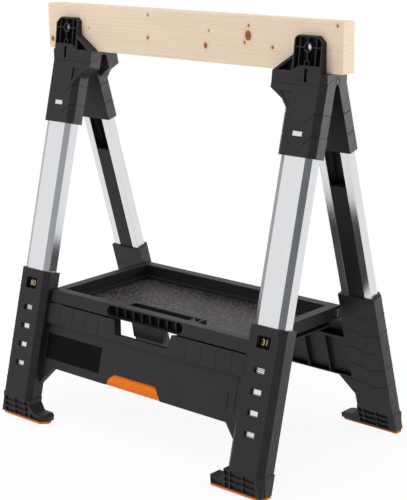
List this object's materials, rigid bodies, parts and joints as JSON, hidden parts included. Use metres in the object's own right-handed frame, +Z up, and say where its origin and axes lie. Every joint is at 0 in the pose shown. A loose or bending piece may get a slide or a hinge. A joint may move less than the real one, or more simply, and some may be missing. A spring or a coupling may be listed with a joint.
{
  "type": "folding saw trestle",
  "caption": "Folding builders trestle: splayed telescopic legs, pinned heads with saddle jaws, a timber top rail and a tool tray that locks the legs open.",
  "frame": {"origin": "on the floor, under the middle of the timber rail", "axes": "+Z up, X along the timber rail, the front with the label plate faces -Y"},
  "size_m": [0.743, 0.435, 0.815],
  "materials": {
    "charcoal_plastic": "fine grain",
    "core_plastic": "satin",
    "aluminium": "satin anodised",
    "steel": "zinc plated",
    "timber": "planed softwood",
    "orange_rubber": "matte",
    "orange_plastic": "satin",
    "label_black": "smooth"
  },
  "bodies": {
    "rear_frame": {"lower_leg_rear_left": "charcoal_plastic", "lower_leg_rear_right": "charcoal_plastic", "guide_rail_rear_left": "core_plastic", "guide_rail_rear_right": "core_plastic", "sole_rear_left": "orange_rubber", "sole_rear_right": "orange_rubber", "rear_panel": "charcoal_plastic", "rear_grip": "orange_plastic", "tray_hangers": "steel"},
    "rear_upper": {"tube_rear_left": "aluminium", "tube_rear_right": "aluminium", "saddle_head_left": "charcoal_plastic", "saddle_head_right": "charcoal_plastic", "timber_beam": "timber", "timber_screws": "steel", "fold_pins": "steel", "tube_clips_rear": "steel", "tube_plugs_rear": "core_plastic", "lock_springs_rear": "steel", "number_plates_rear": "label_black"},
    "front_upper": {"tube_front_left": "aluminium", "tube_front_right": "aluminium", "front_head_left": "charcoal_plastic", "front_head_right": "charcoal_plastic", "tube_clips_front": "steel", "tube_plugs_front": "core_plastic", "lock_springs_front": "steel", "number_plates_front": "label_black"},
    "front_frame": {"lower_leg_front_left": "charcoal_plastic", "lower_leg_front_right": "charcoal_plastic", "guide_rail_front_left": "core_plastic", "guide_rail_front_right": "core_plastic", "sole_front_left": "orange_rubber", "sole_front_right": "orange_rubber", "front_panel": "charcoal_plastic", "front_grip": "orange_plastic", "label_plate": "label_black"},
    "tray_arms": {"tray_arm_left": "core_plastic", "tray_arm_right": "core_plastic"},
    "tray": {"tray": "charcoal_plastic"},
    "lock_button_front_left": {"lock_button_front_left": "steel"},
    "lock_button_front_right": {"lock_button_front_right": "steel"},
    "lock_button_rear_left": {"lock_button_rear_left": "steel"},
    "lock_button_rear_right": {"lock_button_rear_right": "steel"}
  },
  "joints": [
    {"name": "height", "type": "slide", "parent": "rear_frame", "child": "rear_upper", "axis": [0, -0.2588, 0.9659], "range_m": [0, 0.1143]},
    {"name": "fold", "type": "hinge", "parent": "rear_upper", "child": "front_upper", "pos_m": [0, 0, 0.7115], "axis": [1, 0, 0], "range_deg": [0, 30]},
    {"name": "front_height", "type": "slide", "parent": "front_upper", "child": "front_frame", "axis": [0, -0.2588, -0.9659], "range_m": [0, 0.1143]},
    {"name": "tray_fold", "type": "hinge", "parent": "rear_frame", "child": "tray_arms", "pos_m": [0, 0.122, 0.2479], "axis": [-1, 0, 0], "range_deg": [0, 75]},
    {"name": "tray_reach", "type": "slide", "parent": "tray_arms", "child": "tray", "axis": [0, -1, 0], "range_m": [0, 0.0592]},
    {"name": "lock_front_left", "type": "slide", "parent": "front_upper", "child": "lock_button_front_left", "axis": [0, -0.9659, 0.2588], "range_m": [0, 0.004], "stiffness_N_per_m": 400, "springref_m": 0.004},
    {"name": "lock_front_right", "type": "slide", "parent": "front_upper", "child": "lock_button_front_right", "axis": [0, -0.9659, 0.2588], "range_m": [0, 0.004], "stiffness_N_per_m": 400, "springref_m": 0.004},
    {"name": "lock_rear_left", "type": "slide", "parent": "rear_upper", "child": "lock_button_rear_left", "axis": [0, 0.9659, 0.2588], "range_m": [0, 0.004], "stiffness_N_per_m": 400, "springref_m": 0.004},
    {"name": "lock_rear_right", "type": "slide", "parent": "rear_upper", "child": "lock_button_rear_right", "axis": [0, 0.9659, 0.2588], "range_m": [0, 0.004], "stiffness_N_per_m": 400, "springref_m": 0.004}
  ],
  "couplings": [
    {"joint": "front_height", "follows": "height", "ratio": 1},
    {"joint": "tray_reach", "follows": "height", "ratio": 0.51764},
    {"joint": "tray_fold", "follows": "fold", "ratio": 2.5}
  ]
}
